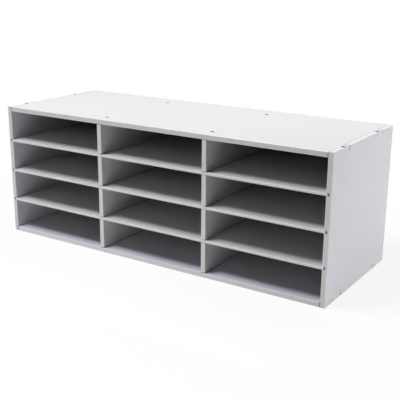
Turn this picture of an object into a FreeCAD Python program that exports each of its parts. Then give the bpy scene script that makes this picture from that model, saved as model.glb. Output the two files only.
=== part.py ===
import FreeCAD, Part
import os
from enum import IntEnum
from types import SimpleNamespace

import Sketcher

# Desktop paper organizer: an open-fronted board case with two dividers and three sliding shelves.
# Millimetres. X runs across the front, Y from front to rear, Z up.
# The origin is on the desk, under the middle of the case.

# Driving dimensions

DRIVING = {
    # the case as a whole
    "case_width": 800,
    "case_depth": 300,
    "case_height": 296,
    # thickness of each kind of board
    "side_board": 10,
    "deck_board": 10,
    "divider_board": 10,
    "shelf_board": 5,
    "back_board": 3,
    # bevel that breaks the sharp edges of the thick boards and of the shelves
    "edge_ease": 0.4,
    "shelf_ease": 0.3,
    # tabs that lock the boards together, measured along the depth
    "tab_length": 34,
    "front_tab_setback": 37,
    "rear_tab_setback": 61.5,
    "tab_end_gap": 2.4,
    "slot_end_gap": 0.4,
    "slot_side_gap": 0.2,
    # shelves in the side grooves and across the dividers
    "shelf_groove_depth": 6,
    "shelf_engagement": 3,
    "shelf_headroom": 0.5,
    "lap_side_gap": 0.25,
    "lap_end_gap": 0.5,
    # back board in its groove
    "back_inset": 12,
    "back_engagement": 4,
    "back_end_gap": 0.5,
    "back_face_gap": 0.2,
    # countersunk screws
    "screw_length": 30,
    "screw_shank": 3.5,
    "screw_head": 7,
    "screw_head_rim": 0.2,
    "screw_point": 4,
    "screw_sink": 0.1,
    "screw_gap": 0.1,
    "recess_span": 3.8,
    "recess_width": 1.1,
    "recess_depth": 1.3,
    "front_screw_lead": 7,
    "rear_screw_lead": 14,
}

# How far a cutting profile runs past an open edge, so that no skin is left there.
OVERCUT = 2

DIVIDERS = ("left_divider", "right_divider")
SHELVES = ("lower_shelf", "middle_shelf", "upper_shelf")

# How sketch constraints name the origin of a sketch.
SKETCH_ORIGIN = (-1, 1)

# Which coordinate of a point runs through a board's thickness.
ACROSS = 0
UPWARDS = 2


class PointOf(IntEnum):
    """How sketch constraints name the points of a line or a circle."""

    LINE_START = 1
    LINE_END = 2
    CIRCLE_CENTRE = 3


class Size:
    """A length that follows the sheet: its formula, and what the formula gives now."""

    def __init__(self, formula, value):
        self.formula = formula
        self.value = float(value)

    @staticmethod
    def of(number):
        return number if isinstance(number, Size) else Size(repr(number), number)

    def __add__(self, other):
        other = Size.of(other)
        return Size(f"({self.formula} + {other.formula})", self.value + other.value)

    def __sub__(self, other):
        other = Size.of(other)
        return Size(f"({self.formula} - {other.formula})", self.value - other.value)

    def __mul__(self, other):
        other = Size.of(other)
        return Size(f"({self.formula} * {other.formula})", self.value * other.value)

    def __truediv__(self, other):
        other = Size.of(other)
        return Size(f"({self.formula} / {other.formula})", self.value / other.value)

    def __neg__(self):
        return Size(f"(-1 * {self.formula})", -self.value)

    def __radd__(self, other):
        return Size.of(other) + self

    def __rsub__(self, other):
        return Size.of(other) - self

    def __rmul__(self, other):
        return Size.of(other) * self


doc = FreeCAD.newDocument("paper_organizer")


def make_sheet():
    """The driving dimensions as a sheet, and as sizes that name its cells."""
    sheet = doc.addObject("Spreadsheet::Sheet", "dims")
    sizes = {}
    for row, (name, number) in enumerate(DRIVING.items(), start=1):
        sheet.set(f"A{row}", name)
        sheet.set(f"B{row}", str(number))
        sheet.setAlias(f"B{row}", name)
    doc.recompute()
    for name in DRIVING:
        sizes[name] = Size(f"dims.{name}", sheet.get(name))
    return SimpleNamespace(**sizes)


dims = make_sheet()

# The case's left and front faces, seen from the origin

LEFT = -dims.case_width / 2
FRONT = -dims.case_depth / 2

# Lines that several boards share, from the case's left, front and bottom

SHELF_DEPTH = dims.case_depth - dims.back_inset - dims.back_board
LAP_LINE = SHELF_DEPTH / 2
DECK_LENGTH = dims.case_width - 2 * dims.side_board
CEILING = dims.case_height - dims.deck_board
BAY_WIDTH = (DECK_LENGTH - len(DIVIDERS) * dims.divider_board) / (len(DIVIDERS) + 1)
SLOT_HEIGHT = (CEILING - dims.deck_board - len(SHELVES) * dims.shelf_board) / (len(SHELVES) + 1)
DIVIDER_LEFT = [
    dims.side_board + BAY_WIDTH + count * (BAY_WIDTH + dims.divider_board)
    for count in range(len(DIVIDERS))
]
SHELF_BOTTOM = [
    dims.deck_board + SLOT_HEIGHT + count * (SLOT_HEIGHT + dims.shelf_board)
    for count in range(len(SHELVES))
]
TAB_FRONT = [
    dims.front_tab_setback,
    dims.case_depth - dims.rear_tab_setback - dims.tab_length,
]
END_SCREW_DEPTH = [front + dims.tab_length / 2 for front in TAB_FRONT]
DIVIDER_SCREW_DEPTH = [
    TAB_FRONT[0] - dims.front_screw_lead,
    TAB_FRONT[1] + dims.tab_length + dims.rear_screw_lead,
]
BACK_GROOVE_DEPTH = dims.back_engagement + dims.back_end_gap
BACK_GROOVE_FRONT = SHELF_DEPTH - dims.back_face_gap
BACK_GROOVE_REAR = SHELF_DEPTH + dims.back_board + dims.back_face_gap
HOLE_WIDTH = dims.screw_shank + 2 * dims.screw_gap
HEAD_CONE = (dims.screw_head - dims.screw_shank) / 2
SINK_WIDTH = dims.screw_head + 2 * (dims.screw_sink + dims.screw_head_rim + dims.screw_gap)
PILOT_DEPTH = dims.screw_length + dims.screw_sink + dims.screw_gap - dims.deck_board


# Bodies, sketches and features


def bind(thing, prop, size):
    thing.setExpression(prop, Size.of(size).formula)


def new_body(label, place=(0, 0, 0)):
    """A piece with its own corner as origin, put at its place in the case."""
    body = doc.addObject("PartDesign::Body", label)
    body.Label = label
    for axis, size in zip("xyz", place):
        bind(body, f"Placement.Base.{axis}", size)
    return body


def new_sketch(body, name, plane, height=0):
    """An empty sketch on one of the piece's own origin planes, or at a height over it."""
    sketch = body.newObject("Sketcher::SketchObject", f"{body.Name}_{name}")
    support = next(item for item in body.Origin.OriginFeatures if item.Role == plane)
    sketch.AttachmentSupport = [(support, "")]
    sketch.MapMode = "FlatFace"
    bind(sketch, "AttachmentOffset.Base.z", height)
    return sketch


def pin_point(sketch, geometry, point, across, up):
    """Hold a point of the sketch at a distance across and up from the sketch's origin."""
    for kind, size in (("DistanceX", across), ("DistanceY", up)):
        size = Size.of(size)
        index = sketch.addConstraint(
            Sketcher.Constraint(kind, *SKETCH_ORIGIN, geometry, point, size.value)
        )
        sketch.setExpression(f"Constraints[{index}]", size.formula)


def draw_polygon(sketch, corners):
    """A closed outline of straight lines through the corners."""
    corners = [(Size.of(across), Size.of(up)) for across, up in corners]
    spots = [FreeCAD.Vector(across.value, up.value, 0) for across, up in corners]
    first = sketch.GeometryCount
    for spot, following in zip(spots, spots[1:] + spots[:1]):
        sketch.addGeometry(Part.LineSegment(spot, following), False)
    for index, corner in enumerate(corners):
        following = first + (index + 1) % len(corners)
        sketch.addConstraint(
            Sketcher.Constraint(
                "Coincident", first + index, PointOf.LINE_END, following, PointOf.LINE_START
            )
        )
        pin_point(sketch, first + index, PointOf.LINE_START, *corner)


def draw_rectangle(sketch, low, high):
    draw_polygon(sketch, [low, (high[0], low[1]), high, (low[0], high[1])])


def draw_circle(sketch, centre, width):
    across, up = (Size.of(part) for part in centre)
    middle = FreeCAD.Vector(across.value, up.value, 0)
    upright = FreeCAD.Vector(0, 0, 1)
    index = sketch.addGeometry(Part.Circle(middle, upright, width.value / 2), False)
    pin_point(sketch, index, PointOf.CIRCLE_CENTRE, across, up)
    held = sketch.addConstraint(Sketcher.Constraint("Diameter", index, width.value))
    sketch.setExpression(f"Constraints[{held}]", width.formula)


def pad(body, sketch, thickness):
    feature = body.newObject("PartDesign::Pad", f"{sketch.Name}_pad")
    feature.Profile = sketch
    bind(feature, "Length", thickness)
    doc.recompute()
    return feature


def pocket(body, sketch, depth=None, against_normal=True):
    """Cut the sketch to a depth, or right through, and make sure that it cuts something."""
    before = body.Shape.Volume
    feature = body.newObject("PartDesign::Pocket", f"{sketch.Name}_pocket")
    feature.Profile = sketch
    feature.Reversed = not against_normal
    if depth is None:
        feature.Type = "ThroughAll"
        feature.Midplane = True
    else:
        bind(feature, "Length", depth)
    doc.recompute()
    if body.Shape.Volume >= before:
        raise RuntimeError(f"{feature.Name} cuts nothing")
    return feature


def ease_edges(body, feature, thickness_axis, bevel):
    """Break the sharp outline of both broad faces of a board."""
    names = []
    for index, edge in enumerate(feature.Shape.Edges, start=1):
        ends = [vertex.Point[thickness_axis] for vertex in edge.Vertexes]
        if abs(ends[0] - ends[1]) < Part.Precision.confusion():
            names.append(f"Edge{index}")
    ease = body.newObject("PartDesign::Chamfer", f"{body.Name}_ease")
    ease.Base = (feature, names)
    bind(ease, "Size", bevel)
    doc.recompute()


# Side panels


def side_outline():
    """A side board seen from the side: a rectangle with a notch for each tab."""
    notches = [(front, front + dims.tab_length + dims.tab_end_gap) for front in TAB_FRONT]
    corners = [(0, 0)]
    for front, rear in notches:
        corners += [(front, 0), (front, dims.deck_board), (rear, dims.deck_board), (rear, 0)]
    corners += [(dims.case_depth, 0), (dims.case_depth, dims.case_height)]
    for front, rear in reversed(notches):
        corners += [
            (rear, dims.case_height),
            (rear, CEILING),
            (front, CEILING),
            (front, dims.case_height),
        ]
    corners += [(0, dims.case_height)]
    return corners


def side_panel(label, left, inner_face, cuts_against_normal):
    """A side board with shelf grooves, a back groove and pilot holes under its notches."""
    body = new_body(label, (left, FRONT, 0))
    outline = new_sketch(body, "outline", "YZ_Plane")
    draw_polygon(outline, side_outline())
    ease_edges(body, pad(body, outline, dims.side_board), ACROSS, dims.edge_ease)

    grooves = new_sketch(body, "shelf_grooves", "YZ_Plane", inner_face)
    for bottom in SHELF_BOTTOM:
        top = bottom + dims.shelf_board + dims.shelf_headroom
        draw_rectangle(grooves, (-OVERCUT, bottom), (SHELF_DEPTH, top))
    pocket(body, grooves, dims.shelf_groove_depth, cuts_against_normal)

    back_groove = new_sketch(body, "back_groove", "YZ_Plane", inner_face)
    draw_rectangle(
        back_groove,
        (BACK_GROOVE_FRONT, dims.deck_board - BACK_GROOVE_DEPTH),
        (BACK_GROOVE_REAR, CEILING + BACK_GROOVE_DEPTH),
    )
    pocket(body, back_groove, BACK_GROOVE_DEPTH, cuts_against_normal)

    pilot_holes(body, dims.side_board / 2, END_SCREW_DEPTH)
    return body


def pilot_holes(body, across, depths):
    """Screw holes down from the ceiling line and up from the bottom panel's upper face."""
    for name, height, downwards in (("upper", CEILING, True), ("lower", dims.deck_board, False)):
        holes = new_sketch(body, f"{name}_pilots", "XY_Plane", height)
        for depth in depths:
            draw_circle(holes, (across, depth), HOLE_WIDTH)
        pocket(body, holes, PILOT_DEPTH, downwards)


# Top and bottom panels


def deck_outline():
    """A deck board seen from above: it fits between the sides, with tabs through them."""
    right = dims.case_width - dims.side_board
    tabs = [(front, front + dims.tab_length) for front in TAB_FRONT]
    corners = [(dims.side_board, 0), (right, 0)]
    for front, rear in tabs:
        corners += [(right, front), (dims.case_width, front), (dims.case_width, rear), (right, rear)]
    corners += [(right, dims.case_depth), (dims.side_board, dims.case_depth)]
    for front, rear in reversed(tabs):
        corners += [(dims.side_board, rear), (0, rear), (0, front), (dims.side_board, front)]
    return corners


def deck_panel(label, bottom, inner_face, outer_face, inside_is_below):
    """A top or bottom board with divider slots, a back groove and countersunk screw holes."""
    body = new_body(label, (LEFT, FRONT, bottom))
    outline = new_sketch(body, "outline", "XY_Plane")
    draw_polygon(outline, deck_outline())
    ease_edges(body, pad(body, outline, dims.deck_board), UPWARDS, dims.edge_ease)

    slots = new_sketch(body, "divider_slots", "XY_Plane")
    for left in DIVIDER_LEFT:
        for front in TAB_FRONT:
            draw_rectangle(
                slots,
                (left - dims.slot_side_gap, front),
                (
                    left + dims.divider_board + dims.slot_side_gap,
                    front + dims.tab_length + dims.slot_end_gap,
                ),
            )
    pocket(body, slots)

    back_groove = new_sketch(body, "back_groove", "XY_Plane", inner_face)
    draw_rectangle(
        back_groove,
        (dims.side_board - OVERCUT, BACK_GROOVE_FRONT),
        (dims.case_width - dims.side_board + OVERCUT, BACK_GROOVE_REAR),
    )
    pocket(body, back_groove, BACK_GROOVE_DEPTH, not inside_is_below)

    screw_holes(body, outer_face, not inside_is_below)
    return body


def screw_spots():
    """Where the screws stand, seen from above: across the ends and along the dividers."""
    middle = dims.side_board / 2
    ends = [
        (across, depth)
        for across in (middle, dims.case_width - middle)
        for depth in END_SCREW_DEPTH
    ]
    dividers = [
        (left + dims.divider_board / 2, depth)
        for left in DIVIDER_LEFT
        for depth in DIVIDER_SCREW_DEPTH
    ]
    return ends, dividers


def screw_holes(body, outer_face, bored_upwards):
    """Clearance holes right through a deck board, countersunk on its outer face."""
    sketch = new_sketch(body, "screw_holes", "XY_Plane", outer_face)
    for group in screw_spots():
        for spot in group:
            draw_circle(sketch, spot, HOLE_WIDTH)
    doc.recompute()
    before = body.Shape.Volume
    holes = body.newObject("PartDesign::Hole", f"{body.Name}_countersinks")
    holes.Profile = sketch
    holes.Reversed = bored_upwards
    holes.DepthType = "ThroughAll"
    bind(holes, "Diameter", HOLE_WIDTH)
    holes.HoleCutType = "Countersink"
    holes.HoleCutCustomValues = True
    bind(holes, "HoleCutDiameter", SINK_WIDTH)
    holes.HoleCutCountersinkAngle = 90
    doc.recompute()
    if body.Shape.Volume >= before:
        raise RuntimeError(f"{holes.Name} cuts nothing")


# Dividers


def divider(label, left):
    """An upright between the decks, slotted from the front, as far as the lap, for the shelves."""
    body = new_body(label, (LEFT + left, FRONT, 0))
    outline = new_sketch(body, "outline", "YZ_Plane")
    draw_rectangle(outline, (0, dims.deck_board), (SHELF_DEPTH, CEILING))
    ease_edges(body, pad(body, outline, dims.divider_board), ACROSS, dims.edge_ease)

    # Tabs through the decks, left square. Each is rooted as deep as the bevel beside it.
    tabs = new_sketch(body, "tabs", "YZ_Plane")
    for front in TAB_FRONT:
        rear = front + dims.tab_length
        draw_rectangle(tabs, (front, 0), (rear, dims.deck_board + dims.edge_ease))
        draw_rectangle(tabs, (front, CEILING - dims.edge_ease), (rear, dims.case_height))
    pad(body, tabs, dims.divider_board)

    slots = new_sketch(body, "shelf_slots", "YZ_Plane")
    for bottom in SHELF_BOTTOM:
        top = bottom + dims.shelf_board + dims.shelf_headroom
        draw_rectangle(slots, (-OVERCUT, bottom), (LAP_LINE + dims.lap_end_gap / 2, top))
    pocket(body, slots)

    pilot_holes(body, dims.divider_board / 2, DIVIDER_SCREW_DEPTH)
    return body


# Shelves


def shelf(label, bottom):
    """A full-width shelf, notched from the rear as far as the lap to straddle the dividers."""
    start = dims.side_board - dims.shelf_engagement
    length = dims.case_width - 2 * start
    lap = LAP_LINE - dims.lap_end_gap / 2
    corners = [(0, 0), (length, 0), (length, SHELF_DEPTH)]
    for left in reversed(DIVIDER_LEFT):
        near = left - start - dims.lap_side_gap
        far = left - start + dims.divider_board + dims.lap_side_gap
        corners += [(far, SHELF_DEPTH), (far, lap), (near, lap), (near, SHELF_DEPTH)]
    corners += [(0, SHELF_DEPTH)]

    body = new_body(label, (LEFT + start, FRONT, bottom))
    outline = new_sketch(body, "outline", "XY_Plane")
    draw_polygon(outline, corners)
    ease_edges(body, pad(body, outline, dims.shelf_board), UPWARDS, dims.shelf_ease)
    return body


# Back panel


def back_panel(label):
    """A thin board whose four edges sit in the back grooves."""
    start = dims.side_board - dims.back_engagement
    floor = dims.deck_board - dims.back_engagement
    body = new_body(label, (LEFT + start, FRONT + SHELF_DEPTH + dims.back_board, floor))
    outline = new_sketch(body, "outline", "XZ_Plane")
    far_corner = (dims.case_width - 2 * start, dims.case_height - 2 * floor)
    draw_rectangle(outline, (0, 0), far_corner)
    pad(body, outline, dims.back_board)
    return body


# Screws


def countersunk_screw():
    """One screw, point down, with the middle of its head's flat top as origin."""
    head = dims.screw_head / 2
    shank = dims.screw_shank / 2
    under_head = dims.screw_head_rim + HEAD_CONE
    body = new_body("countersunk_screw")
    profile = new_sketch(body, "profile", "XZ_Plane")
    draw_polygon(
        profile,
        [
            (0, 0),
            (0, -dims.screw_length),
            (shank, dims.screw_point - dims.screw_length),
            (shank, -under_head),
            (head, -dims.screw_head_rim),
            (head, 0),
        ],
    )
    turning = body.newObject("PartDesign::Revolution", "screw_turning")
    turning.Profile = profile
    turning.ReferenceAxis = (profile, ["V_Axis"])
    turning.Angle = 360
    doc.recompute()

    recess = new_sketch(body, "recess", "XY_Plane")
    reach = dims.recess_span / 2
    half = dims.recess_width / 2
    quarter = [(half, half), (half, reach), (-half, reach)]
    arms = []
    for _ in range(4):
        arms += quarter
        quarter = [(-up, across) for across, up in quarter]
    draw_polygon(recess, arms)
    pocket(body, recess, dims.recess_depth)
    return body


def screw_group(label, screw, spots, head_height, head_down):
    """A row of separate screws at the same height, heads up or heads down."""
    placed = []
    for count, (across, depth) in enumerate(spots, start=1):
        copy = doc.addObject("App::Link", f"{label}_{count}")
        copy.LinkedObject = screw
        if head_down:
            copy.Placement.Rotation = FreeCAD.Rotation(FreeCAD.Vector(1, 0, 0), 180)
        bind(copy, "Placement.Base.x", LEFT + across)
        bind(copy, "Placement.Base.y", FRONT + depth)
        bind(copy, "Placement.Base.z", head_height)
        placed.append(copy)
    group = doc.addObject("Part::Compound", label)
    group.Label = label
    group.Links = placed
    return group


# The whole organizer


def build():
    right_side = dims.case_width / 2 - dims.side_board
    pieces = [
        side_panel("left_side_panel", LEFT, dims.side_board, True),
        side_panel("right_side_panel", right_side, 0, False),
        deck_panel("bottom_panel", 0, dims.deck_board, 0, False),
        deck_panel("top_panel", CEILING, 0, dims.deck_board, True),
        back_panel("back_panel"),
    ]
    pieces += [divider(label, left) for label, left in zip(DIVIDERS, DIVIDER_LEFT)]
    pieces += [shelf(label, bottom) for label, bottom in zip(SHELVES, SHELF_BOTTOM)]

    screw = countersunk_screw()
    end_spots, divider_spots = screw_spots()
    top_heads = dims.case_height - dims.screw_sink
    pieces += [
        screw_group("top_end_screws", screw, end_spots, top_heads, False),
        screw_group("top_divider_screws", screw, divider_spots, top_heads, False),
        screw_group("bottom_end_screws", screw, end_spots, dims.screw_sink, True),
        screw_group("bottom_divider_screws", screw, divider_spots, dims.screw_sink, True),
    ]
    return pieces


def check(pieces):
    """Stop before anything is written if a feature failed or a piece is not sound."""
    doc.recompute()
    for item in doc.Objects:
        if {"Invalid", "Error"} & set(item.State):
            raise RuntimeError(f"{item.Name} failed: {item.State}")
    for piece in pieces:
        if piece.Shape.isNull() or not piece.Shape.isValid():
            raise RuntimeError(f"{piece.Label} is not a sound shape")


def write(pieces):
    os.makedirs("parts", exist_ok=True)
    for piece in pieces:
        piece.Shape.exportStep(f"parts/{piece.Label}.step")


pieces = build()
check(pieces)
write(pieces)
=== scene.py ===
from collections import namedtuple
from functools import reduce
import math

import bmesh
import bpy
from mathutils import Matrix, Vector


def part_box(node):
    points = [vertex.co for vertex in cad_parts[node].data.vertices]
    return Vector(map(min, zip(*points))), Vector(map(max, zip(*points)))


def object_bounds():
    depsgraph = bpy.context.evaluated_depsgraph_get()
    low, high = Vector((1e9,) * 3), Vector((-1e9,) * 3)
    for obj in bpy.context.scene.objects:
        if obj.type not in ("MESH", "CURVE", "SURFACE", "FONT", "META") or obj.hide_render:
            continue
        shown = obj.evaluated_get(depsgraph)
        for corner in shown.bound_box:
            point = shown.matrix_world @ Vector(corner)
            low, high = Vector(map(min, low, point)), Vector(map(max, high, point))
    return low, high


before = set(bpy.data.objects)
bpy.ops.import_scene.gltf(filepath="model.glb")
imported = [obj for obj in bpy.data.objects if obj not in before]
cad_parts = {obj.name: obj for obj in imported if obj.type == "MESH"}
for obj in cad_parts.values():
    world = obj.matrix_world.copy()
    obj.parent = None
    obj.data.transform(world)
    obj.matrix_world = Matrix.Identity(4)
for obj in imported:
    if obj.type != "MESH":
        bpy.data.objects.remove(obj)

cad_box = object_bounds()

# Lengths are metres in the part's own frame: origin at the middle of the underside, front towards -Y.
MM = 0.001
X, Y, Z = range(3)

SHELVES = ("upper_shelf", "middle_shelf", "lower_shelf")
SCREWS = ("top_end_screws", "top_divider_screws", "bottom_end_screws", "bottom_divider_screws")

# Planes of the joints, from the middle of the case: left mirrors right, and bottom mirrors top.
CASE_MIDDLE = (cad_box[0] + cad_box[1]) / 2
CASE_HALF = (cad_box[1] - cad_box[0]) / 2
SIDE_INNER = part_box("right_side_panel")[0].x
DECK_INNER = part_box("top_panel")[0].z - CASE_MIDDLE.z
DIVIDER_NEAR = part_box("right_divider")[0].x
DIVIDER_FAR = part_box("right_divider")[1].x

# The photograph's viewpoint, with angles in degrees.
IMAGE_PIXELS = 400
SENSOR_WIDTH_MM = 36.0
FOCAL_PIXELS = 770.2
CAMERA_PLACE = Vector((0.9143, -1.3722, 0.6024))
CAMERA_AZIMUTH = 32.90
CAMERA_ELEVATION = 16.80
CAMERA_ROLL = 0.46

# Board colours, as linear red, green and blue: the broad faces near the front and further in,
# the front and rear edges, and the other edges. The cooler front is a painted tint on the band that
# the lamps light at the front, and the edge tones differ from board to board as painted light and shade.
BoardTones = namedtuple("BoardTones", "front inside long_edge end_edge")
BOARD_TONES = {
    "top_board": BoardTones(
        (0.613, 0.609, 0.628), (0.613, 0.609, 0.628), (0.605, 0.601, 0.599), (0.585, 0.581, 0.574)),
    "bottom_board": BoardTones(
        (0.611, 0.586, 0.684), (0.612, 0.607, 0.622), (0.636, 0.630, 0.640), (0.620, 0.615, 0.608)),
    "left_board": BoardTones(
        (0.611, 0.594, 0.662), (0.612, 0.609, 0.622), (0.612, 0.606, 0.636), (0.690, 0.686, 0.694)),
    "right_board": BoardTones(
        (0.611, 0.602, 0.652), (0.611, 0.602, 0.652), (0.655, 0.648, 0.632), (0.700, 0.696, 0.690)),
    "left_divider_board": BoardTones(
        (0.614, 0.613, 0.613), (0.614, 0.614, 0.611), (0.648, 0.645, 0.640), (0.640, 0.637, 0.626)),
    "right_divider_board": BoardTones(
        (0.614, 0.613, 0.613), (0.614, 0.614, 0.611), (0.636, 0.633, 0.622), (0.640, 0.637, 0.626)),
    "shelf_board_white": BoardTones(
        (0.614, 0.608, 0.632), (0.614, 0.614, 0.611), (0.640, 0.633, 0.648), (0.640, 0.633, 0.648)),
}
# Pale lines along the cut edges: painted highlights where the arrises catch light, on a paler skin of the
# board.
EDGE_HIGHLIGHT_PALE = (0.770, 0.764, 0.766)
SCUFF_GREY = (0.490, 0.486, 0.500)
PORE_SHADE = (0.460, 0.454, 0.440)
# Painted shade in the seams between boards and round the screw heads.
SEAM_SHADE = (0.130, 0.127, 0.124)
NOTCH_SHADE = (0.070, 0.069, 0.068)

# Patterns in the finishes: patch sizes along X, Y and Z, layers of detail and how much they break it up.
Grain = namedtuple("Grain", "sizes detail breakup")
CLOUD = Grain((160 * MM, 160 * MM, 160 * MM), 3.0, 0.55)
SMUDGE = Grain((45 * MM, 45 * MM, 45 * MM), 4.0, 0.60)
STIPPLE = Grain((0.9 * MM, 0.9 * MM, 0.9 * MM), 1.0, 0.50)
RIPPLE = Grain((20 * MM, 20 * MM, 20 * MM), 1.0, 0.40)
RUBBED_LENGTHWISE = Grain((200 * MM, 4 * MM, 200 * MM), 2.0, 0.50)
RUBBED_UPWARDS = Grain((200 * MM, 5 * MM, 250 * MM), 2.0, 0.50)
RUBBED_INWARDS = Grain((3 * MM, 160 * MM, 160 * MM), 2.0, 0.50)
SAWN_FLAT = Grain((60 * MM, 60 * MM, 0.6 * MM), 2.0, 0.50)
SAWN_UPRIGHT = Grain((0.6 * MM, 60 * MM, 60 * MM), 2.0, 0.50)

# Pores in a cut edge: how far apart they are, and where one starts and stops fading, in parts of that.
PORE_SPACING = 1.4 * MM
PORE_RADIUS = (0.10, 0.28)

# The noise values between which each pattern comes to show.
CLOUD_SHOWS = (0.30, 0.75)
SMUDGE_SHOWS = (0.35, 0.70)
SCUFF_STROKES = (0.66, 0.78)
SCUFF_PATCHES = (0.46, 0.62)
PORE_PATCHES = (0.48, 0.60)
SAW_SHOWS = (0.40, 0.75)

# How much of the board's colour each mark covers. A groove's share is part of a notch's.
CLOUD_SHARE = 0.03
SCUFF_SHARE = 0.08
PORE_SHARE = 0.30
SAW_SHARE = 0.10
EDGE_HIGHLIGHT_SHARE = 0.45
SMUDGED_EDGE_HIGHLIGHT_SHARE = 0.30
SEAM_SHARE = 0.90
SCREW_SHADE_SHARE = 0.92
DIVIDER_SEAM_SHARE = 0.80
OVER_SHELF_SHARE = 0.54
UNDER_SHELF_SHARE = 0.28
NOTCH_SHARE = 0.95
GROOVE_SHARE = 0.55

# The board's feel: the roughness of a face, what marks add to it, and heights as parts of the relief.
FACE_ROUGHNESS = 0.17
SMUDGE_ROUGHNESS = 0.06
CUT_ROUGHNESS = 0.16
SCUFF_ROUGHNESS = 0.04
BOARD_IOR = 1.55
BOARD_RELIEF = 0.012 * MM
STIPPLE_HEIGHT = 0.12
RIPPLE_HEIGHT = 0.6
SAW_HEIGHT = 0.9
PORE_DEPTH = 0.8

# How squarely a surface has to face along an axis, from 0 to 1, to count as lying across it.
SQUARE_ON = (0.75, 0.93)
FLAT_ON = (0.76, 0.94)
WALL_ON = (0.90, 0.97)
FRONT_ON = (0.50, 0.80)

# Soft limits of the marks on the boards: where each starts and stops changing, measured from a plane.
LIT_BAND_TINT_DEPTH = (20 * MM, 80 * MM)
EDGE_HIGHLIGHT_DEPTH = (0.9 * MM, 1.9 * MM)
DECK_END_FROM = (-1.6 * MM, -1.1 * MM)
DECK_END_TO = (0.6 * MM, 1.2 * MM)
BUTT_FROM = (-1.9 * MM, -1.3 * MM)
FRONT_EDGE_FROM = (-0.6 * MM, -0.3 * MM)
DIVIDER_WIDTH_TO = (-0.5 * MM, 0.5 * MM)
INNER_FACE_TO = (1.5 * MM, 2.5 * MM)
SIDE_SEAM_FROM = (-1.2 * MM, -0.6 * MM)
DIVIDER_SEAM_FROM = (-1.5 * MM, -0.9 * MM)
GROOVE_FROM = (1.0 * MM, 1.6 * MM)
GROOVE_TO = (-1.6 * MM, -1.0 * MM)
GROOVES_END = (-10 * MM, -5 * MM)
JOINTS_END = (-10 * MM, -5 * MM)
RIM_FROM = (-1.6 * MM, -0.8 * MM)

# The painted shade lines over and under a shelf where it crosses a divider: how far off, and their soft
# half width.
OVER_SHELF = 0.7 * MM
OVER_SHELF_TO = (0.6 * MM, 1.4 * MM)
UNDER_SHELF = 0.6 * MM
UNDER_SHELF_TO = (0.5 * MM, 1.2 * MM)

# The pressed sheet of the back, and the pale and dark fibres in it. Its grey is kept darker than the
# boards as painted shade deep inside the slots.
BACK_GREY = (0.435, 0.434, 0.431)
BACK_PALE_FIBRE = (0.600, 0.596, 0.585)
BACK_DARK_FIBRE = (0.270, 0.268, 0.262)
BACK_CLOUD = Grain((110 * MM, 110 * MM, 80 * MM), 4.0, 0.60)
LYING_FIBRE = Grain((14 * MM, 14 * MM, 2.0 * MM), 3.0, 0.60)
STANDING_FIBRE = Grain((2.2 * MM, 14 * MM, 16 * MM), 3.0, 0.60)
BACK_GRIT = Grain((1.2 * MM, 1.2 * MM, 1.2 * MM), 2.0, 0.60)
LYING_SHOWS = (0.54, 0.68)
STANDING_SHOWS = (0.56, 0.70)
BACK_CLOUD_SHOWS = (0.40, 0.65)
FIBRE_SHARE = 0.40
BACK_CLOUD_SHARE = 0.30
BACK_ROUGHNESS = 0.48
BACK_CLOUD_ROUGHNESS = 0.14
BACK_RELIEF = 0.05 * MM
FIBRE_HEIGHT = 0.6
GRIT_HEIGHT = 0.3

# Screws: the width of a head, where the painted shade round it starts and stops fading, and the steel.
SCREW_HEAD = 7 * MM
SCREW_SHADE_RADIUS = (4.3 * MM, 5.1 * MM)
OXIDE_BLACK = (0.012, 0.012, 0.013)
BARE_STEEL = (0.100, 0.098, 0.096)
STEEL_MOTTLE = Grain((1.6 * MM, 1.6 * MM, 1.6 * MM), 3.0, 0.60)
TURNING_LINES = Grain((3.0 * MM, 3.0 * MM, 0.2 * MM), 1.0, 0.50)
RUBBED_STEEL_SHOWS = (0.58, 0.74)
RUBBED_STEEL_SHARE = 0.4
STEEL_ROUGHNESS = 0.55
MOTTLE_ROUGHNESS = 0.20
STEEL_RELIEF = 0.02 * MM
MOTTLE_HEIGHT = 0.5
TURNING_HEIGHT = 0.5
OXIDE_SHINE = 0.06

# The floor, its share of white by the case, how far out it turns all white, and the light of the room.
FLOOR_RADIUS = 6.0
FLOOR_CORNERS = 96
WHITE = (1.0, 1.0, 1.0)
FLOOR_PALE = (0.90, 0.90, 0.90)
FLOOR_WHITE_NEAR = 0.86
SHADOW_REACH = (0.05, 0.50)
ROOM_LIGHT = 0.02

# The lamps: centre, the point each one faces, width, height and power in watts.
Softbox = namedtuple("Softbox", "centre aim width height power")
SOFTBOXES = {
    "overhead_softbox": Softbox((-0.72, -0.73, 2.15), (0.0, 0.0, 0.15), 1.0, 0.5, 48.5),
    "right_softbox": Softbox((2.0, 0.70, 0.11), (0.4, 0.0, 0.10), 1.2, 0.2, 19.3),
    "top_softbox": Softbox((0.40, 0.30, 1.1), (0.30, 0.05, 0.30), 0.7, 0.7, 4.2),
    "floor_strip": Softbox((-0.10, -0.42, 0.015), (-0.10, -0.15, 0.10), 1.0, 0.06, 0.26),
}

# The Mix node's sockets for colours, by number, because its other sockets have the same names.
MIX_SHARE = 0
MIX_UNDER = 6
MIX_OVER = 7
MIX_COLOUR = 2


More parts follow.
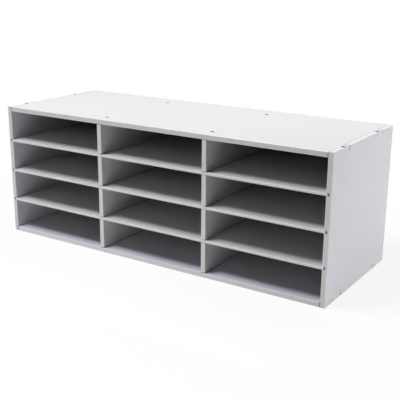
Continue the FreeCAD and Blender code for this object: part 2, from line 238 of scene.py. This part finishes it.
class Signal:
    """A shader socket that takes part in arithmetic. Each operator adds one Math node."""

    def __init__(self, finish, socket):
        self.finish = finish
        self.socket = socket

    def maths(self, operation, first, second):
        return self.finish.add("ShaderNodeMath", {"operation": operation}, {0: first, 1: second})

    def __add__(self, other):
        return self.maths("ADD", self, other)

    def __radd__(self, other):
        return self.maths("ADD", other, self)

    def __sub__(self, other):
        return self.maths("SUBTRACT", self, other)

    def __rsub__(self, other):
        return self.maths("SUBTRACT", other, self)

    def __mul__(self, other):
        return self.maths("MULTIPLY", self, other)

    def __rmul__(self, other):
        return self.maths("MULTIPLY", other, self)

    def __abs__(self):
        return self.maths("ABSOLUTE", self, 0.0)

    def larger(self, other):
        return self.maths("MAXIMUM", self, other)

    def smaller(self, other):
        return self.maths("MINIMUM", self, other)


class Finish:
    """A node tree under construction, for a material or for the world."""

    def __init__(self, owner):
        owner.use_nodes = True
        self.owner = owner
        self.tree = owner.node_tree
        self.tree.nodes.clear()

    def add(self, kind, settings, sockets, out=0):
        """Adds a node, sets it up, fills its sockets and gives back one of its outputs, if it has any."""
        node = self.tree.nodes.new(kind)
        for name, value in settings.items():
            setattr(node, name, value)
        for key, value in sockets.items():
            if isinstance(value, Signal):
                self.tree.links.new(value.socket, node.inputs[key])
            else:
                node.inputs[key].default_value = value
        return Signal(self, node.outputs[out]) if node.outputs else None

    def place(self):
        """The point on the piece, in metres."""
        return self.add("ShaderNodeTexCoord", {}, {}, "Object")

    def facing(self):
        """How squarely the surface faces along X, Y and Z, each from 0 to 1."""
        normal = self.add("ShaderNodeTexCoord", {}, {}, "Normal")
        return [abs(part) for part in self.split(normal)]

    def split(self, vector):
        return [self.add("ShaderNodeSeparateXYZ", {}, {"Vector": vector}, axis) for axis in "XYZ"]

    def noise(self, place, grain):
        stretch = [1.0 / size for size in grain.sizes]
        drawn = self.add("ShaderNodeVectorMath", {"operation": "MULTIPLY"}, {0: place, 1: stretch})
        sockets = {"Vector": drawn, "Scale": 1.0, "Detail": grain.detail, "Roughness": grain.breakup}
        return self.add("ShaderNodeTexNoise", {}, sockets, "Fac")

    def pits(self, place, spacing):
        """Distance to the middle of the nearest of many scattered cells, in cell widths."""
        sockets = {"Vector": place, "Scale": 1.0 / spacing}
        return self.add("ShaderNodeTexVoronoi", {}, sockets, "Distance")

    def fade(self, value, start, end):
        """A soft step from 0 at start to 1 at end."""
        settings = {"interpolation_type": "SMOOTHSTEP"}
        sockets = {"Value": value, "From Min": start, "From Max": end}
        return self.add("ShaderNodeMapRange", settings, sockets)

    def past(self, value, plane, limit):
        """0 short of a soft limit that is measured from a plane, and 1 past it."""
        start, end = limit
        return self.fade(value, plane + start, plane + end)

    def short_of(self, value, plane, limit):
        """1 short of such a limit, and 0 past it."""
        return 1 - self.past(value, plane, limit)

    def blend(self, share, under, over):
        """The colour over laid on the colour under."""
        sockets = {MIX_SHARE: share, MIX_UNDER: opaque(under), MIX_OVER: opaque(over)}
        return self.add("ShaderNodeMix", {"data_type": "RGBA"}, sockets, MIX_COLOUR)

    def relief(self, height, depth):
        """A surface normal from a height of 0 to 1 that stands for depth metres."""
        return self.add("ShaderNodeBump", {}, {"Strength": 1.0, "Distance": depth, "Height": height})

    def surface(self, sockets):
        self.output(self.add("ShaderNodeBsdfPrincipled", {}, sockets))

    def output(self, shader, kind="ShaderNodeOutputMaterial"):
        self.add(kind, {}, {"Surface": shader})


class BoardSpot:
    """A point on a board: where it is, how far from the middle of the case, and how it faces."""

    def __init__(self, finish, thickness):
        self.place = finish.place()
        self.at = finish.split(self.place)
        self.reach, self.depth, self.lift = [abs(part - mid) for part, mid in zip(self.at, CASE_MIDDLE)]
        self.facing = finish.facing()
        self.face = finish.fade(self.facing[thickness], *SQUARE_ON)
        self.cut = 1 - self.face
        self.bevel = 1 - finish.fade(reduce(Signal.larger, self.facing), *FLAT_ON)


def opaque(colour):
    return colour if isinstance(colour, Signal) else (*colour, 1.0)


def new_finish(name):
    return Finish(bpy.data.materials.new(name))


def round_screws(finish, spot, screws):
    """1 round the heads of four screws that stand in a rectangle, and straight above and below them."""
    low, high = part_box(screws)
    off_column = spot.reach - (high.x - SCREW_HEAD / 2)
    off_row = abs(spot.at[Y] - (low.y + high.y) / 2) - (high.y - low.y - SCREW_HEAD) / 2
    off_squared = off_column * off_column + off_row * off_row
    return 1 - finish.fade(off_squared, *(radius * radius for radius in SCREW_SHADE_RADIUS))


def deck_seam_shade(finish, spot):
    """Painted shade in the joints of a deck: at its ends, along the dividers' fronts and round its screws.
    """
    ends = finish.past(spot.reach, SIDE_INNER, DECK_END_FROM)
    ends = ends * finish.short_of(spot.reach, SIDE_INNER, DECK_END_TO)
    off_divider = abs(spot.reach - (DIVIDER_NEAR + DIVIDER_FAR) / 2)
    fronts = finish.short_of(off_divider, (DIVIDER_FAR - DIVIDER_NEAR) / 2, DIVIDER_WIDTH_TO)
    fronts = fronts * finish.short_of(spot.lift, DECK_INNER, INNER_FACE_TO)
    butts = finish.past(spot.reach, SIDE_INNER, BUTT_FROM)
    butts = butts * finish.past(spot.depth, CASE_HALF.y, FRONT_EDGE_FROM)
    seams = (spot.bevel * ends.larger(fronts)).larger(butts)
    # Painted shade round the countersunk heads.
    screw_shade = round_screws(finish, spot, "top_end_screws")
    screw_shade = screw_shade.larger(round_screws(finish, spot, "top_divider_screws"))
    return (seams * SEAM_SHARE).larger(screw_shade * SCREW_SHADE_SHARE)


def side_seam_shade(finish, spot):
    """Painted shade where a side panel meets the decks, on the inside of the case."""
    near_deck = finish.past(spot.lift, DECK_INNER, SIDE_SEAM_FROM)
    inside = finish.short_of(spot.reach, SIDE_INNER, INNER_FACE_TO)
    return spot.bevel * near_deck * inside * SEAM_SHARE


def divider_seam_shade(finish, spot):
    """Painted shade where a divider meets the decks, and over and under each shelf that lies across it."""
    seams = finish.past(spot.lift, DECK_INNER, DIVIDER_SEAM_FROM)
    seams = seams * finish.short_of(spot.lift, DECK_INNER, INNER_FACE_TO)
    grime = seams * DIVIDER_SEAM_SHARE
    for shelf in SHELVES:
        low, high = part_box(shelf)
        over = finish.short_of(abs(spot.at[Z] - (high.z + OVER_SHELF)), 0.0, OVER_SHELF_TO)
        under = finish.short_of(abs(spot.at[Z] - (low.z - UNDER_SHELF)), 0.0, UNDER_SHELF_TO)
        grime = grime.larger(over * OVER_SHELF_SHARE).larger(under * UNDER_SHELF_SHARE)
    return grime


def no_seam_shade(finish, spot):
    return 0.0


def joint_walls(finish, spot):
    """1 on the walls across the depth that are shut inside a joint, and 0 on the front and rear edges."""
    inside = finish.short_of(spot.depth, CASE_HALF.y, JOINTS_END)
    below_rim = finish.short_of(spot.lift, CASE_HALF.z, RIM_FROM)
    return finish.fade(spot.facing[Y], *WALL_ON) * inside * below_rim * spot.cut


def side_walls(finish, spot):
    """The joint walls of a side panel, and the insides of its grooves."""
    sunk = finish.past(spot.reach, SIDE_INNER, GROOVE_FROM)
    sunk = sunk * finish.short_of(spot.reach, CASE_HALF.x, GROOVE_TO)
    between_decks = finish.short_of(spot.lift, DECK_INNER, GROOVES_END)
    grooves = sunk * between_decks * (1 - finish.fade(spot.facing[Y], *FRONT_ON))
    return joint_walls(finish, spot).larger(grooves * GROOVE_SHARE)


def edge_highlight_lines(finish, spot, board):
    """1 along the cut edges of a board, next to its broad faces: painted highlights where the eased
    arrises catch light, on a paler skin of the board.
    """
    axis = board.thickness
    gaps = [abs(spot.at[axis] - corner[axis]) for piece in board.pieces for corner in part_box(piece)]
    return finish.short_of(reduce(Signal.smaller, gaps), 0.0, EDGE_HIGHLIGHT_DEPTH) * spot.cut


def board_finish(name, board):
    """White foamed board: satin faces, matt cut edges between pale skins with painted highlights, and
    painted shade where boards meet.
    """
    tones = BOARD_TONES[name]
    finish = new_finish(name)
    spot = BoardSpot(finish, board.thickness)
    face = spot.face
    cut = spot.cut
    long_edge = finish.fade(spot.facing[Y], *SQUARE_ON) * cut
    # The cooler front tone is a painted tint where light falls on the front band, and it gives way further
    # in.
    further_in = finish.past(spot.at[Y], cad_box[0].y, LIT_BAND_TINT_DEPTH)

    cloud = finish.noise(spot.place, CLOUD)
    smudge = finish.noise(spot.place, SMUDGE)
    strokes = finish.noise(spot.place, board.rubs)
    stipple = finish.noise(spot.place, STIPPLE)
    ripple = finish.noise(spot.place, RIPPLE)
    saw = finish.noise(spot.place, board.saw)
    pore = 1 - finish.fade(finish.pits(spot.place, PORE_SPACING), *PORE_RADIUS)
    scuff = finish.fade(strokes, *SCUFF_STROKES) * finish.fade(smudge, *SCUFF_PATCHES) * face
    speck = pore * cut * finish.fade(stipple, *PORE_PATCHES)
    # Painted highlights along the edges, next to the broad faces.
    edge_highlight = edge_highlight_lines(finish, spot, board) * (EDGE_HIGHLIGHT_SHARE + SMUDGED_EDGE_HIGHLIGHT_SHARE * smudge)

    colour = finish.blend(further_in, tones.front, tones.inside)
    # The edge tones differ from board to board as painted light and shade: lighter on the bottom deck,
    # darker on the top deck.
    colour = finish.blend(cut, colour, tones.end_edge)
    colour = finish.blend(long_edge, colour, tones.long_edge)
    colour = finish.blend(finish.fade(cloud, *CLOUD_SHOWS) * CLOUD_SHARE, colour, SCUFF_GREY)
    colour = finish.blend(scuff * SCUFF_SHARE, colour, SCUFF_GREY)
    colour = finish.blend(speck * PORE_SHARE, colour, PORE_SHADE)
    colour = finish.blend(finish.fade(saw, *SAW_SHOWS) * cut * SAW_SHARE, colour, PORE_SHADE)
    colour = finish.blend(edge_highlight, colour, EDGE_HIGHLIGHT_PALE)
    # Painted shade along the seams and round the screws.
    colour = finish.blend(board.grime(finish, spot), colour, SEAM_SHADE)
    colour = finish.blend(board.walls(finish, spot) * NOTCH_SHARE, colour, NOTCH_SHADE)

    roughness = FACE_ROUGHNESS + SMUDGE_ROUGHNESS * finish.fade(smudge, *SMUDGE_SHOWS)
    roughness = roughness + CUT_ROUGHNESS * cut + SCUFF_ROUGHNESS * scuff
    height = STIPPLE_HEIGHT * stipple * face + RIPPLE_HEIGHT * ripple * face
    height = height + (SAW_HEIGHT * saw - PORE_DEPTH * speck) * cut
    finish.surface({
        "Base Color": colour,
        "Roughness": roughness,
        "Normal": finish.relief(height, BOARD_RELIEF),
        "IOR": BOARD_IOR,
    })
    return finish.owner


def back_finish():
    """Grey pressed fibre sheet, darkened as painted shade for the insides of the slots: fibres lying both
    ways, and cloudy patches.
    """
    finish = new_finish("grey_fibre_sheet")
    place = finish.place()
    cloud = finish.noise(place, BACK_CLOUD)
    lying = finish.noise(place, LYING_FIBRE)
    standing = finish.noise(place, STANDING_FIBRE)
    grit = finish.noise(place, BACK_GRIT)
    pale = finish.fade(lying, *LYING_SHOWS).larger(finish.fade(standing, *STANDING_SHOWS))
    dark = finish.fade(1 - lying, *LYING_SHOWS).larger(finish.fade(1 - standing, *STANDING_SHOWS))
    colour = finish.blend(pale * FIBRE_SHARE, BACK_GREY, BACK_PALE_FIBRE)
    colour = finish.blend(dark * FIBRE_SHARE, colour, BACK_DARK_FIBRE)
    cloudy = finish.fade(cloud, *BACK_CLOUD_SHOWS) * BACK_CLOUD_SHARE
    height = FIBRE_HEIGHT * lying + FIBRE_HEIGHT * standing + GRIT_HEIGHT * grit
    finish.surface({
        "Base Color": finish.blend(cloudy, colour, BACK_DARK_FIBRE),
        "Roughness": BACK_ROUGHNESS + BACK_CLOUD_ROUGHNESS * cloud,
        "Normal": finish.relief(height, BACK_RELIEF),
    })
    return finish.owner


def screw_finish():
    """Blackened steel, rubbed a little brighter in places by the driver."""
    finish = new_finish("blackened_screw")
    place = finish.place()
    mottle = finish.noise(place, STEEL_MOTTLE)
    turning = finish.noise(place, TURNING_LINES)
    rubbed = finish.fade(mottle, *RUBBED_STEEL_SHOWS) * RUBBED_STEEL_SHARE
    finish.surface({
        "Base Color": finish.blend(rubbed, OXIDE_BLACK, BARE_STEEL),
        "Metallic": rubbed,
        "Roughness": STEEL_ROUGHNESS + MOTTLE_ROUGHNESS * mottle,
        "Normal": finish.relief(MOTTLE_HEIGHT * mottle + TURNING_HEIGHT * turning, STEEL_RELIEF),
        "Specular IOR Level": OXIDE_SHINE,
    })
    return finish.owner


def seen_directly(finish):
    """1 where the camera, a reflection or glass looks at a surface, and 0 where it only gives light."""
    camera = finish.add("ShaderNodeLightPath", {}, {}, "Is Camera Ray")
    glossy = finish.add("ShaderNodeLightPath", {}, {}, "Is Glossy Ray")
    clear = finish.add("ShaderNodeLightPath", {}, {}, "Is Transmission Ray")
    scattered = finish.add("ShaderNodeLightPath", {}, {}, "Diffuse Depth")
    return camera.larger(glossy).larger(clear) * (1 - scattered.smaller(1.0))


def floor_finish():
    """Pale matt floor, lifted towards white where it is seen, with the shadow left on it."""
    finish = new_finish("pale_floor")
    matt = finish.add("ShaderNodeBsdfDiffuse", {}, {"Color": opaque(FLOOR_PALE)})
    white = finish.add("ShaderNodeEmission", {}, {"Color": opaque(WHITE), "Strength": 1.0})
    at = finish.split(finish.place())
    beyond_case = (abs(at[X]) - CASE_HALF.x).larger(abs(at[Y]) - CASE_HALF.y)
    far = finish.fade(beyond_case, *SHADOW_REACH)
    share = (FLOOR_WHITE_NEAR + (1.0 - FLOOR_WHITE_NEAR) * far) * seen_directly(finish)
    finish.output(finish.add("ShaderNodeMixShader", {}, {0: share, 1: matt, 2: white}))
    return finish.owner


# Which pieces each board makes, the axis it is thin along, and the marks on it.
Board = namedtuple("Board", "pieces thickness rubs saw grime walls")
BOARDS = {
    "top_board": Board(("top_panel",), Z, RUBBED_LENGTHWISE, SAWN_FLAT, deck_seam_shade, joint_walls),
    "bottom_board": Board(("bottom_panel",), Z, RUBBED_LENGTHWISE, SAWN_FLAT, deck_seam_shade, joint_walls),
    "left_board": Board(("left_side_panel",), X, RUBBED_UPWARDS, SAWN_UPRIGHT, side_seam_shade, side_walls),
    "right_board": Board(("right_side_panel",), X, RUBBED_UPWARDS, SAWN_UPRIGHT, side_seam_shade, side_walls),
    "left_divider_board": Board(
        ("left_divider",), X, RUBBED_UPWARDS, SAWN_UPRIGHT, divider_seam_shade, joint_walls),
    "right_divider_board": Board(
        ("right_divider",), X, RUBBED_UPWARDS, SAWN_UPRIGHT, divider_seam_shade, joint_walls),
    "shelf_board_white": Board(SHELVES, Z, RUBBED_INWARDS, SAWN_FLAT, no_seam_shade, joint_walls),
}


def give(pieces, material):
    for piece in pieces:
        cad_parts[piece].material_slots[0].material = material


def dress_pieces():
    for name, board in BOARDS.items():
        give(board.pieces, board_finish(name, board))
    give(("back_panel",), back_finish())
    give(SCREWS, screw_finish())


def lay_floor():
    mesh = bpy.data.meshes.new("floor")
    sheet = bmesh.new()
    bmesh.ops.create_circle(sheet, cap_ends=True, segments=FLOOR_CORNERS, radius=FLOOR_RADIUS)
    sheet.to_mesh(mesh)
    sheet.free()
    floor = bpy.data.objects.new("floor", mesh)
    bpy.context.scene.collection.objects.link(floor)
    mesh.materials.append(floor_finish())


def light_room():
    world = bpy.data.worlds.new("white_room")
    bpy.context.scene.world = world
    finish = Finish(world)
    dim = finish.add("ShaderNodeBackground", {}, {"Color": opaque(WHITE), "Strength": ROOM_LIGHT})
    white = finish.add("ShaderNodeBackground", {}, {"Color": opaque(WHITE), "Strength": 1.0})
    room = finish.add("ShaderNodeMixShader", {}, {0: seen_directly(finish), 1: dim, 2: white})
    finish.output(room, "ShaderNodeOutputWorld")


def hang_softboxes():
    for name, softbox in SOFTBOXES.items():
        lamp = bpy.data.lights.new(name, "AREA")
        lamp.shape = "RECTANGLE"
        lamp.size = softbox.width
        lamp.size_y = softbox.height
        lamp.energy = softbox.power
        holder = bpy.data.objects.new(name, lamp)
        holder.location = softbox.centre
        towards = Vector(softbox.aim) - Vector(softbox.centre)
        holder.rotation_euler = towards.to_track_quat("-Z", "Y").to_euler()
        bpy.context.scene.collection.objects.link(holder)


def set_camera():
    lens = bpy.data.cameras.new("camera")
    lens.sensor_width = SENSOR_WIDTH_MM
    lens.lens = SENSOR_WIDTH_MM * FOCAL_PIXELS / IMAGE_PIXELS
    camera = bpy.data.objects.new("camera", lens)
    turn = Matrix.Rotation(math.radians(CAMERA_AZIMUTH), 4, "Z")
    tilt = Matrix.Rotation(math.radians(90.0 - CAMERA_ELEVATION), 4, "X")
    roll = Matrix.Rotation(math.radians(CAMERA_ROLL), 4, "Z")
    camera.matrix_world = Matrix.Translation(CAMERA_PLACE) @ turn @ tilt @ roll
    bpy.context.scene.collection.objects.link(camera)
    bpy.context.scene.camera = camera


dress_pieces()
lay_floor()
light_room()
hang_softboxes()
set_camera()
bpy.context.scene.view_settings.view_transform = "Standard"
